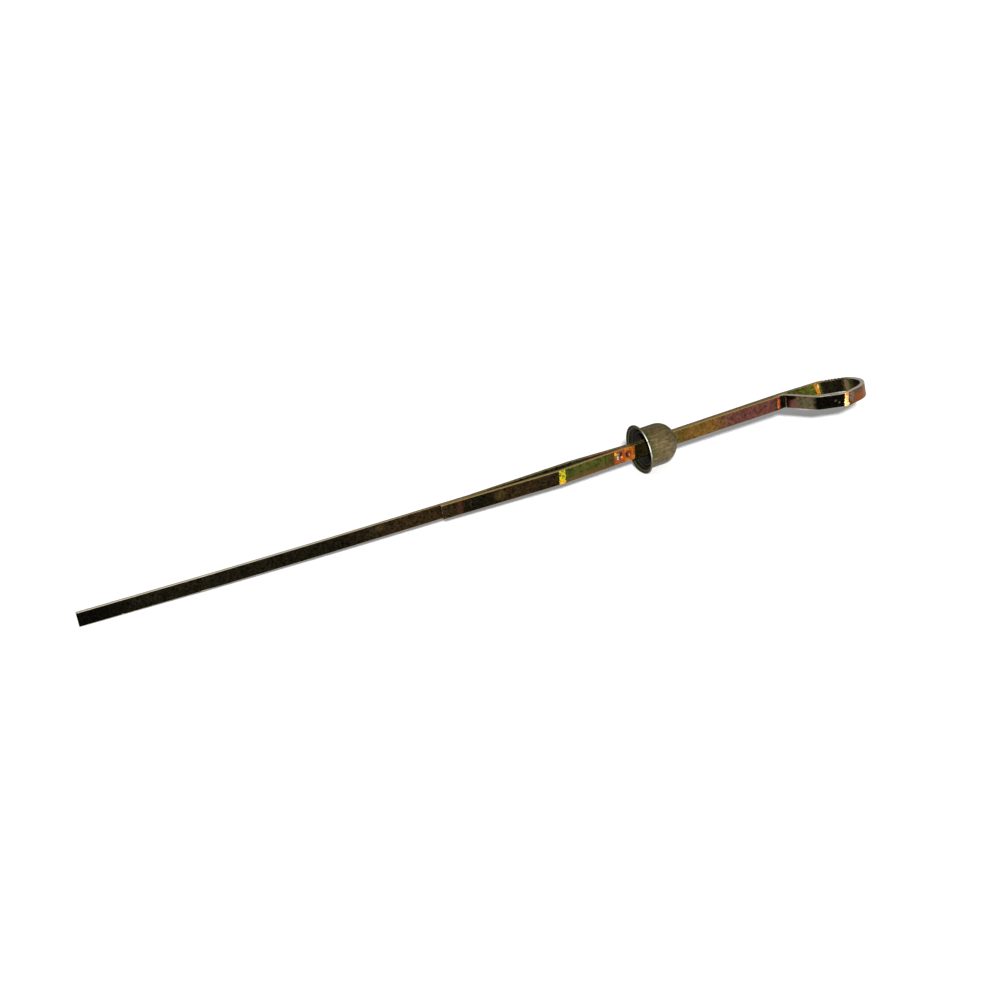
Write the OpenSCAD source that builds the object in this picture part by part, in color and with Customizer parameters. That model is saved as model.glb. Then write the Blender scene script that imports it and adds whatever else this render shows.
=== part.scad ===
// Engine oil dipstick: one flat steel strip folded into blade, tube spring, handle and finger
// ring, with a deep-drawn bell cap pressed on its handle and a rubber seal inside that cap.
// X runs along the handle from the blade's tip to the ring, and Z is the strip's width.
// The origin is the centre of the cap's mouth, and the part lies as it rests on a bench.

/* [Strip] */
// Width of the flat strip
strip_w = 4.9; // [3.5:0.1:5.5]
// Thickness of the strip
strip_t = 1.5; // [1:0.1:1.7]
// Gap between the two layers where they lie together
layer_gap = 0.1; // [0.05:0.05:0.3]

/* [Blade] */
// Length from the cap's mouth to the tip
blade_len = 194.5; // [170:0.5:320]
// Sideways set of the tip away from the handle's line
tip_set = 18.6; // [10:0.2:30]
// Sideways sag of the blade between its ends
blade_sag = 1.15; // [0:0.05:2]
// Distance from the tip to the first gentle bend
first_set_at = 42; // [30:1:50]
// Distance from the tip to the second gentle bend
second_set_at = 82; // [70:1:95]
// Radius of the two gentle bends
set_r = 180; // [80:10:300]
// Distance from the tip to the lower level mark
low_mark_at = 14; // [6:1:18]
// Distance from the lower level mark to the upper one
mark_span = 26; // [10:1:40]
// Width of a level mark
mark_w = 0.5; // [0.3:0.1:1]
// Depth of a level mark
mark_depth = 0.2; // [0.1:0.05:0.4]

/* [Tube spring] */
// Distance from the cap's mouth to where the two layers part
spring_start = 1.5; // [1:0.5:4]
// Distance from the cap's mouth to the back layer's bend
back_bend_at = 24; // [18:1:28]
// How far the back layer bows away from the handle's line
back_bow = 3.9; // [2.5:0.05:5.5]
// Distance from the cap's mouth to the front layer's bend
front_bend_at = 30.8; // [29:0.1:36]
// How far the front layer bows away from the handle's line
front_bow = 1.8; // [1:0.05:2.5]
// Distance from the cap's mouth to the third bend of the back layer
rejoin_at = 62; // [50:1:68]
// Distance from the cap's mouth to the square end of the front layer
spring_end = 73; // [70:0.5:85]
// Radius of the spring's bends
spring_r = 9; // [5:0.5:14]

/* [Handle] */
// Distance from the cap's mouth to the crease that closes the ring
crease_at = 58.9; // [50:0.1:80]
// Length of the joggle before the crease
joggle_len = 3; // [2.5:0.1:5]
// Opening between the layers at the joggle
joggle_gap = 0.6; // [0.3:0.05:1.2]
// Gap between the layers at the crease
crease_gap = 0.15; // [0.1:0.05:0.3]

/* [Finger ring] */
// Distance along the handle's line from the crease to the bend at the ring's back
ring_back = 15.4; // [13:0.1:20]
// Distance along the handle's line from the crease to the bend at the ring's front
ring_front = 12.6; // [10:0.1:16]
// Distance along the handle's line from the crease to the ring's near corner
ring_corner = 5.1; // [3:0.1:7]
// Reach of the front bend from the handle's line
front_reach = 21.4; // [20:0.1:26]
// Reach of the near corner from the handle's line
corner_reach = 15.9; // [13:0.1:18]
// Drop of the ring's back between the crease and its bend
back_drop = 1.2; // [0.5:0.1:2]
// Slope of the ring's back flat
back_slope = 31; // [24:1:36]
// Slope of the ring's front flat
front_slope = 17; // [10:1:22]
// Radius of the ring's round end
ring_r = 9; // [7:0.1:9.5]
// Radius of the ring's sharp bends
bend_r = 2.2; // [1.8:0.1:3]
// Radius of the crease
crease_r = 1.4; // [1.2:0.1:2]

/* [Tube cap] */
// Diameter of the flared mouth
mouth_d = 17.2; // [16.4:0.1:18]
// Diameter of the cap's body
body_d = 13.8; // [13.2:0.1:14.4]
// Length of the cap
cap_len = 13.5; // [12:0.1:18]
// Thickness of the cap's sheet
cap_wall = 0.65; // [0.5:0.05:0.8]
// Radius of the flare behind the mouth
flare_r = 2.2; // [2:0.1:2.6]
// Radius of the rounded crown
crown_r = 5.6; // [3.5:0.1:5.8]

/* [Stakes] */
// Distance from the cap's mouth to the nearer stake
stake_at = 4.6; // [4:0.1:8]
// Distance between the two stakes
stake_pitch = 3; // [2:0.1:4]
// Radius of the punch that made a stake
stake_r = 1.2; // [0.8:0.1:1.6]
// Depth of a stake
stake_depth = 0.3; // [0.1:0.05:0.4]

/* [Seal] */
// Wall of the rubber seal
seal_wall = 0.75; // [0.6:0.05:1.1]
// Thickness of the seal's floor
seal_floor = 1.8; // [1:0.1:2.5]
// Distance from the mouth to the seal's lip
seal_inset = 1.5; // [1.2:0.1:2.5]
// Radius round the bottom of the seal's bore
seal_corner = 2.5; // [2:0.1:3.5]

/* [Fits] */
// Clearance of the strip in the slots of cap and seal
slot_fit = 0.1; // [0.05:0.05:0.2]
// Clearance of the seal in the cap
seal_fit = 0.05; // [0.02:0.01:0.1]
// Offset of the strip's two layers from the cap's axis
strip_offset = 0.8; // [0:0.05:0.9]

/* [Hidden] */
$fn = 96;

// Length of a cut's overshoot past the face that it starts from
over = 1;
// Largest turn of one step of a bend, in degrees
bend_step = 5;
// Distance of each layer's middle from the handle's line where the layers lie together
layer_y = (strip_t + layer_gap) / 2;
// The part rests on the tip's lower edge and on the cap's mouth
rest_pitch = asin((mouth_d - strip_w) / 2 / blade_len);
// Slot for both layers in cap and seal
slot_t = 2 * (layer_y + strip_t / 2 + slot_fit);
slot_w = strip_w + 2 * slot_fit;
// Radii of the cap's inside and of the two sides of its flare, and where the flare ends
bore_r = body_d / 2 - cap_wall;
flare_in_r = flare_r + cap_wall;
flare_x = body_d / 2 + flare_r;
flare_end = sqrt(pow(flare_in_r, 2) - pow(flare_x - mouth_d / 2, 2));

// Direction from one point to another, in degrees
function heading(p, q) = atan2(q.y - p.y, q.x - p.x);
// Turn from one direction to another, between -180 and 180 degrees
function turn(a, b) = b - a > 180 ? b - a - 360 : b - a < -180 ? b - a + 360 : b - a;
// Length that a bend takes from each of its two runs
function tangent(radius, angle) = radius * tan(abs(angle) / 2);
// Point where two lines meet, each given by a point and a direction
function meet(p, a, q, b) =
    let (s = ((q.x - p.x) * sin(b) - (q.y - p.y) * cos(b)) / sin(b - a))
    [p.x + s * cos(a), p.y + s * sin(a)];
// Point at a distance from a start in a direction
function along(p, a, s) = [p.x + s * cos(a), p.y + s * sin(a)];

// Blade's middle line at a distance from its tip
blade_slope = (tip_set - back_bow) / (blade_len - rejoin_at);
function blade_point(at) = [at - blade_len, tip_set - blade_slope * at - blade_sag];

tip = [-blade_len, tip_set];
rejoin = [-rejoin_at, back_bow];
second_set = blade_point(second_set_at);
// Square end of the front layer, which lies against the back layer
back_heading = heading(rejoin, second_set);
front_end = along(rejoin, back_heading, (spring_end - rejoin_at) / abs(cos(back_heading)))
    - [0, (strip_t + layer_gap) / abs(cos(back_heading))];

ring_back_bend = [crease_at + ring_back, layer_y - back_drop];
ring_front_bend = [crease_at + ring_front, -front_reach];
ring_near_bend = [crease_at + ring_corner, -corner_reach];
ring_nose = meet(ring_back_bend, -back_slope, ring_front_bend, front_slope);
joggle = [crease_at - joggle_len, -layer_y - joggle_gap];
// The crease's corner lies where its rounded crest just clears the back layer
crease_in = heading(ring_near_bend, [crease_at, -layer_y]);
crease_out = 180 + heading(joggle, [crease_at, -layer_y]);
crease_crest = crease_r
    + crease_r / cos((crease_out - crease_in) / 2) * cos((crease_in + crease_out) / 2);
crease = [crease_at, layer_gap / 2 - layer_y - crease_gap - crease_crest];

// Corners of the strip's middle line from the tip round the ring to the front layer's end,
// each with its bend radius
fold = [
    [tip, 0],
    [blade_point(first_set_at), set_r],
    [second_set, set_r],
    [rejoin, spring_r],
    [[-back_bend_at, back_bow], spring_r],
    [[-spring_start, layer_y], spring_r],
    [[crease_at, layer_y], spring_r],
    [ring_back_bend, bend_r],
    [ring_nose, ring_r],
    [ring_front_bend, bend_r],
    [ring_near_bend, bend_r],
    [crease, crease_r],
    [joggle, bend_r],
    [[cap_len + spring_start, -layer_y], spring_r],
    [[-spring_start, -layer_y], spring_r],
    [[-front_bend_at, -front_bow], spring_r],
    [front_end, 0]
];
last = len(fold) - 1;
headings = [for (i = [0:last - 1]) heading(fold[i][0], fold[i + 1][0])];
turns = [for (i = [0:last]) i == 0 || i == last ? 0 : turn(headings[i - 1], headings[i])];
trims = [for (i = [0:last]) tangent(fold[i][1], turns[i])];

// Points of one bend, at an offset to the left of the middle line
function bend_points(i, offset) =
    let (
        side = sign(turns[i]),
        radius = fold[i][1],
        start = along(fold[i][0], headings[i - 1], -trims[i]),
        centre = along(start, headings[i - 1] + side * 90, radius),
        steps = ceil(abs(turns[i]) / bend_step)
    )
    [for (k = [0:steps])
        along(centre, headings[i - 1] + turns[i] * k / steps - side * 90, radius - side * offset)];
// One long side of the strip, at an offset to the left of the middle line
function strip_side(offset) = [
    along(fold[0][0], headings[0] + 90, offset),
    for (i = [1:last - 1]) each bend_points(i, offset),
    along(fold[last][0], headings[last - 1] + 90, offset)
];
// The same points from the last to the first
function reversed(points) = [for (i = [len(points) - 1:-1:0]) points[i]];

// Flat strip folded along its corners
module folded_strip() {
    translate([0, 0, -strip_w / 2])
        linear_extrude(height = strip_w)
            polygon(concat(strip_side(strip_t / 2), reversed(strip_side(-strip_t / 2))));
}

// Scribed line across the blade's front face, at a distance from the tip
module level_mark(at) {
    translate([tip.x, tip.y, 0])
        rotate([0, 0, headings[0]])
            translate([at - mark_w / 2, -strip_t / 2 - over, -strip_w / 2 - over])
                cube([mark_w, over + mark_depth, strip_w + 2 * over]);
}

// Round dent in the front layer's outer face, at a distance from the cap's mouth
module stake(at) {
    start = fold[last - 2][0];
    beyond = along(start, headings[last - 2], at - spring_start);
    translate([beyond.x, beyond.y - strip_t / 2 - stake_r + stake_depth, 0])
        sphere(r = stake_r);
}

module dipstick_strip() {
    color("darkkhaki")
        translate([0, strip_offset, 0])
            difference() {
                folded_strip();
                level_mark(low_mark_at);
                level_mark(low_mark_at + mark_span);
                stake(stake_at);
                stake(stake_at + stake_pitch);
            }
}

// Half section of a bell without its flare, from the mouth at zero to its rounded crown
module bell_section(radius, length, corner) {
    square([radius, length - corner]);
    square([radius - corner, length]);
    translate([radius - corner, length - corner])
        intersection() {
            circle(r = corner);
            square(corner);
        }
}

// Half section of the mouth's flare, from the handle's line out to a side of the sheet
module flare_section(radius, reach) {
    difference() {
        square([reach, flare_end]);
        translate([flare_x, flare_end])
            circle(r = radius);
    }
}

// Slot through crown and floor for both layers of the strip
module strip_slot() {
    translate([seal_inset, strip_offset - slot_t / 2, -slot_w / 2])
        cube([cap_len, slot_t, slot_w]);
}

// Turns a section about the handle's line, with the mouth towards the blade
module about_handle() {
    rotate([0, 90, 0])
        rotate_extrude()
            children();
}

module tube_cap() {
    color("tan")
        difference() {
            about_handle() {
                bell_section(body_d / 2, cap_len, crown_r);
                flare_section(flare_r, mouth_d / 2);
            }
            about_handle() {
                bell_section(bore_r, cap_len - cap_wall, crown_r - cap_wall);
                flare_section(flare_in_r, mouth_d / 2);
            }
            strip_slot();
        }
}

module cap_seal() {
    seal_r = bore_r - seal_fit;
    seal_top = cap_len - cap_wall - seal_fit;
    color("dimgray")
        difference() {
            about_handle()
                bell_section(seal_r, seal_top, crown_r - cap_wall - seal_fit);
            about_handle()
                bell_section(seal_r - seal_wall, seal_top - seal_floor, seal_corner);
            translate([0, -body_d, -body_d])
                cube([seal_inset, 2 * body_d, 2 * body_d]);
            strip_slot();
        }
}

// Turns a node from the handle's line to how the part rests
module at_rest() {
    rotate([0, -rest_pitch, 0])
        children();
}

at_rest() dipstick_strip();
at_rest() tube_cap();
at_rest() cap_seal();
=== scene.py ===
"""Engine oil dipstick: finished surfaces of its folded strip, tube cap and seal."""
import logging
import math
from dataclasses import dataclass, field
from enum import Enum, IntEnum
from typing import Any, Callable, Iterable, Sequence

import bmesh
import bpy
from mathutils import Matrix, Vector, noise


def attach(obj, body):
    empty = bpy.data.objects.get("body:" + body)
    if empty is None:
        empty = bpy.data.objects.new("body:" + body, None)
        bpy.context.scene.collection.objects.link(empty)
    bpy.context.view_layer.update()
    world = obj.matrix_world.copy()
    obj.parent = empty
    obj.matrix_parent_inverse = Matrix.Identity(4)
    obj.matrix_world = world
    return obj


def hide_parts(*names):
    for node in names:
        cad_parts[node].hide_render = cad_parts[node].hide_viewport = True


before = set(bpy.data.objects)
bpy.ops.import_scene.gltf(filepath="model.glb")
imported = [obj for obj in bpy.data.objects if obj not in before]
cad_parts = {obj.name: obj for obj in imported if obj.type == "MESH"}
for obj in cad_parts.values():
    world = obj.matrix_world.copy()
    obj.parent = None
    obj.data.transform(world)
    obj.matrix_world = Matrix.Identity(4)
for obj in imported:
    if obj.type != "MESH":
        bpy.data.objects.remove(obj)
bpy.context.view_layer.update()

BODY = "root"
MM = 0.001
ALONG_HANDLE = Vector((1, 0, 0))

log = logging.getLogger("dipstick")

Colour = tuple[float, float, float]
# Two numbers that belong together, such as where a mask starts and ends
Span = tuple[float, float]
# Where a band starts, is full, starts to fade and ends
Band = tuple[float, float, float, float]


class Tone(Enum):
    """Colours of yellow chromate over zinc and of the steel's bare spots, and of the painted glints,
    painted reflections and painted shade laid on them, as sRGB values from 0 to 255.
    """

    INK = (10, 9, 6)
    UMBER_BLACK = (23, 21, 13)
    UMBER = (38, 31, 20)
    SEPIA = (46, 36, 20)
    TAN_SHADE = (88, 70, 34)
    MAROON = (68, 36, 28)
    RUST = (120, 52, 34)
    TEAL_SHADE = (46, 54, 36)
    OLIVE_SHADE = (42, 42, 20)
    OLIVE = (78, 84, 37)
    LEAF = (94, 98, 36)
    MOSS = (112, 106, 76)
    OLIVE_GOLD = (102, 86, 40)
    GOLD = (120, 90, 42)
    BRONZE = (116, 76, 44)
    ROSE = (106, 68, 60)
    PLUM = (88, 64, 56)
    PINK = (134, 94, 84)
    FLAME = (255, 130, 66)
    ORANGE = (232, 142, 40)
    EMBER = (190, 84, 34)
    BRASS = (226, 206, 30)
    STRAW = (255, 232, 166)
    DRAB = (112, 96, 66)
    KHAKI = (128, 106, 56)
    ZINC = (150, 140, 122)
    PALE_ZINC = (166, 160, 146)
    WHITE_ZINC = (232, 230, 220)

    def linear(self) -> Colour:
        """Returns the colour as linear values from 0 to 1."""
        return tuple(self._decode(channel / 255) for channel in self.value)

    @staticmethod
    def _decode(value: float) -> float:
        """Returns one sRGB channel as a linear value."""
        return value / 12.92 if value <= 0.04045 else ((value + 0.055) / 1.055) ** 2.4


@dataclass(frozen=True)
class Grain:
    """Scale of a noise: size of one blot in metres, octaves of finer noise, and their strength."""

    size: float
    detail: float = 3.0
    rough: float = 0.55


class Number:
    """A number that varies over a surface: a shader socket with arithmetic."""

    def __init__(self, shading: "Shading", socket: bpy.types.NodeSocket) -> None:
        """Wraps a socket.

        Args:
            shading: the material that the socket belongs to.
            socket: the output that gives the number.
        """
        self.shading = shading
        self.socket = socket

    def _math(self, operation: str, *values: Any) -> "Number":
        """Returns the result of a Math node on the given values."""
        made = self.shading.node("ShaderNodeMath", {"operation": operation}, dict(enumerate(values)))
        return Number(self.shading, made.outputs[0])

    def __add__(self, other: Any) -> "Number":
        """Returns the sum."""
        return self._math("ADD", self, other)

    __radd__ = __add__

    def __sub__(self, other: Any) -> "Number":
        """Returns the difference."""
        return self._math("SUBTRACT", self, other)

    def __rsub__(self, other: Any) -> "Number":
        """Returns the difference with the number taken away."""
        return self._math("SUBTRACT", other, self)

    def __mul__(self, other: Any) -> "Number":
        """Returns the product."""
        return self._math("MULTIPLY", self, other)

    __rmul__ = __mul__

    def __truediv__(self, other: Any) -> "Number":
        """Returns the quotient."""
        return self._math("DIVIDE", self, other)

    def __abs__(self) -> "Number":
        """Returns the number without its sign."""
        return self._math("ABSOLUTE", self)

    def rises(self, low: float, high: float) -> "Number":
        """Makes a smooth mask.

        Args:
            low: value below which the mask is 0.
            high: value above which the mask is 1; it may be the smaller of the two.

        Returns:
            The mask.
        """
        settings = {"interpolation_type": "SMOOTHSTEP"}
        made = self.shading.node("ShaderNodeMapRange", settings, {0: self, 1: low, 2: high, 3: 0.0, 4: 1.0})
        return Number(self.shading, made.outputs[0])

    def band(self, start: float, full: float, fade: float, end: float) -> "Number":
        """Returns a mask that is 1 from full to fade, and 0 before start and after end."""
        return self.rises(start, full) * self.rises(end, fade)


class Shading:
    """One material under construction."""

    def __init__(self, name: str) -> None:
        """Starts an empty material with its Principled shader.

        Args:
            name: the material's name.
        """
        self.material = bpy.data.materials.new(name)
        self.material.use_nodes = True
        self.tree = self.material.node_tree
        self.tree.nodes.clear()
        self.surface = self.node("ShaderNodeBsdfPrincipled")
        self.node("ShaderNodeOutputMaterial", {}, {"Surface": self.surface.outputs[0]})

    def node(self, kind: str, settings: dict | None = None, inputs: dict | None = None) -> bpy.types.Node:
        """Makes any node of this material.

        Args:
            kind: the node's type.
            settings: its own settings, set first; "stops" holds a ramp's places and colours.
            inputs: socket name or number, with the value or link that it takes.

        Returns:
            The new node.
        """
        made = self.tree.nodes.new(kind)
        for name, value in (settings or {}).items():
            if name == "stops":
                self._set_stops(made.color_ramp, value)
            else:
                setattr(made, name, value)
        for key, value in (inputs or {}).items():
            self._feed(made.inputs[key], value)
        return made

    def _feed(self, socket: bpy.types.NodeSocket, value: Any) -> None:
        """Links or sets one socket.

        Args:
            socket: the input.
            value: a Number or socket to link, or a Tone, number or vector to set.
        """
        if isinstance(value, Number):
            value = value.socket
        if isinstance(value, bpy.types.NodeSocket):
            self.tree.links.new(value, socket)
        elif isinstance(value, Tone):
            socket.default_value = (*value.linear(), 1.0)
        else:
            socket.default_value = value

    @staticmethod
    def _set_stops(ramp: bpy.types.ColorRamp, stops: Sequence[tuple[float, Colour]]) -> None:
        """Gives a ramp its places and colours.

        Args:
            ramp: the ramp.
            stops: at least two, in rising order.
        """
        for place, _ in stops[2:]:
            ramp.elements.new(place)
        for element, (place, colour) in zip(ramp.elements, stops):
            element.position = place
            element.color = (*colour, 1.0)

    def attribute(self, name: str) -> Number:
        """Returns a number that the mesh holds at its points."""
        return Number(self, self.node("ShaderNodeAttribute", {"attribute_name": name}).outputs["Fac"])

    def place(self, stretch: Sequence[float] = (1, 1, 1),
              turn: Sequence[float] = (0, 0, 0)) -> bpy.types.NodeSocket:
        """Gives the place on the piece, turned and stretched.

        Args:
            stretch: factors along X, Y and Z.
            turn: rotation in radians.

        Returns:
            The coordinates.
        """
        coordinates = self.node("ShaderNodeTexCoord").outputs["Object"]
        inputs = {"Vector": coordinates, "Rotation": turn, "Scale": stretch}
        return self.node("ShaderNodeMapping", {}, inputs).outputs[0]

    def cloud(self, grain: Grain, where: Any = None) -> Number:
        """Makes smooth noise.

        Args:
            grain: its scale.
            where: coordinates, or None for the place on the piece.

        Returns:
            A number between about 0.25 and 0.75.
        """
        inputs = {"Vector": where or self.place(), "Scale": 1 / grain.size}
        inputs |= {"Detail": grain.detail, "Roughness": grain.rough}
        return Number(self, self.node("ShaderNodeTexNoise", {}, inputs).outputs[0])

    def mix(self, share: Any, first: Any, second: Any, how: str = "MIX") -> bpy.types.NodeSocket:
        """Mixes two colours.

        Args:
            share: how much of the second colour shows.
            first: colour at share 0.
            second: colour at share 1.
            how: the blending mode.

        Returns:
            The mixed colour.
        """
        settings = {"data_type": "RGBA", "blend_type": how}
        return self.node("ShaderNodeMix", settings, {0: share, 6: first, 7: second}).outputs[2]

    def brighten(self, colour: Any, gain: Any) -> bpy.types.NodeSocket:
        """Returns a colour multiplied by a number."""
        inputs = {0: colour, "Scale": gain}
        return self.node("ShaderNodeVectorMath", {"operation": "SCALE"}, inputs).outputs[0]

    def bump(self, height: Number, depth: float, strength: float = 1.0) -> None:
        """Raises the surface's normal.

        Args:
            height: number from 0 to 1.
            depth: height of 1 in metres.
            strength: share of the effect.
        """
        inputs = {"Height": height, "Distance": depth, "Strength": strength}
        self.finish(Normal=self.node("ShaderNodeBump", {}, inputs).outputs[0])

    def finish(self, **inputs: Any) -> None:
        """Sets sockets of the Principled shader, named with underscores for spaces."""
        for name, value in inputs.items():
            self._feed(self.surface.inputs[name.replace("_", " ")], value)


def placed(name: str, data: bpy.types.ID) -> bpy.types.Object:
    """Makes an object in the scene.

    Args:
        name: its name.
        data: its mesh, light or camera data.

    Returns:
        The object.
    """
    made = bpy.data.objects.new(name, data)
    bpy.context.scene.collection.objects.link(made)
    return made


def dressed(name: str, mesh: bmesh.types.BMesh, finish: bpy.types.Material) -> bpy.types.Object:
    """Makes an object from a finished bmesh.

    Args:
        name: its name.
        mesh: its shape in metres; it is freed.
        finish: its material.

    Returns:
        The object.
    """
    data = bpy.data.meshes.new(name)
    mesh.to_mesh(data)
    mesh.free()
    data.materials.append(finish)
    return placed(name, data)


def made_into_piece(name: str, mesh: bmesh.types.BMesh, node: str,
                    finish: bpy.types.Material) -> None:
    """Turns a finished bmesh into a piece that stands for a CAD node, and reports it.

    Args:
        name: the piece's name.
        mesh: its shape in metres in the row's frame; it is freed.
        node: the CAD node that it replaces.
        finish: its material.
    """
    piece = dressed(name, mesh, finish)
    piece.data.shade_smooth()
    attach(piece, BODY)
    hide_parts(node)
    log.info("%s: %d faces, stands for %s", name, len(piece.data.polygons), node)


@dataclass(frozen=True)
class Stance:
    """Shared sizes in millimetres, and how the part lies: on its tip's lower edge and the cap's rim."""

    mouth_d: float = 17.2
    cap_len: float = 13.5
    strip_w: float = 4.9
    strip_t: float = 1.5
    layer_gap: float = 0.1
    offset: float = 0.8
    blade_len: float = 194.5

    @property
    def pitch(self) -> float:
        """Angle between the handle's line and the floor, in radians."""
        return math.asin((self.mouth_d - self.strip_w) / 2 / self.blade_len)

    def settle(self, mesh: bmesh.types.BMesh) -> None:
        """Brings a mesh from millimetres on the handle's line to metres where it rests."""
        turned = Matrix.Rotation(-self.pitch, 4, "Y") @ Matrix.Scale(MM, 4)
        bmesh.ops.transform(mesh, matrix=turned, verts=mesh.verts)


class Corner(IntEnum):
    """Corners of the folded strip, from the tip round the ring to the front layer's end."""

    TIP = 0
    FIRST_SET = 1
    SECOND_SET = 2
    REJOIN = 3
    BACK_BEND = 4
    BACK_PART = 5
    RING_START = 6
    RING_BACK = 7
    RING_NOSE = 8
    RING_FRONT = 9
    RING_NEAR = 10
    CREASE = 11
    JOGGLE = 12
    CAP_TOP = 13
    FRONT_PART = 14
    FRONT_BEND = 15
    FRONT_END = 16


def heading(start: Vector, end: Vector) -> float:
    """Returns the direction from one point of the plane to another, in radians."""
    return math.atan2(end.y - start.y, end.x - start.x)


def ahead(start: Vector, direction: float, distance: float) -> Vector:
    """Returns the point at a distance from a start in a direction."""
    return start + distance * Vector((math.cos(direction), math.sin(direction)))


def crossing(first: Vector, first_way: float, second: Vector, second_way: float) -> Vector:
    """Finds where two lines of the plane meet.

    Args:
        first: a point of the first line.
        first_way: its direction in radians.
        second: a point of the second line.
        second_way: its direction in radians.

    Returns:
        The point that they share.
    """
    gap = second - first
    reach = (gap.x * math.sin(second_way) - gap.y * math.cos(second_way)) / math.sin(second_way - first_way)
    return ahead(first, first_way, reach)


@dataclass
class Route:
    """Middle line of a strip in a plane: corners, each with a bend radius, walked in their order."""

    points: list[Vector]
    radii: list[float]
    ways: list[float] = field(init=False)
    turns: list[float] = field(init=False)
    trims: list[float] = field(init=False)
    runs: list[float] = field(init=False)

    def __post_init__(self) -> None:
        """Works out directions, turns, what each bend takes, and the distance walked to each corner."""
        self.ways = [heading(a, b) for a, b in zip(self.points, self.points[1:])]
        inner = [math.remainder(b - a, math.tau) for a, b in zip(self.ways, self.ways[1:])]
        self.turns = [0.0, *inner, 0.0]
        self.trims = [radius * math.tan(abs(turn) / 2) for radius, turn in zip(self.radii, self.turns)]
        self.runs = [0.0]
        for i in range(1, len(self.points)):
            bends = self.radii[i - 1] * abs(self.turns[i - 1]) + self.radii[i] * abs(self.turns[i])
            self.runs.append(self.runs[-1] + self.straight(i) + bends / 2)

    def straight(self, i: int) -> float:
        """Returns the length of the flat stretch that leads to corner i."""
        return (self.points[i] - self.points[i - 1]).length - self.trims[i] - self.trims[i - 1]

    @property
    def length(self) -> float:
        """Whole length of the strip."""
        return self.runs[-1]


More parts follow.
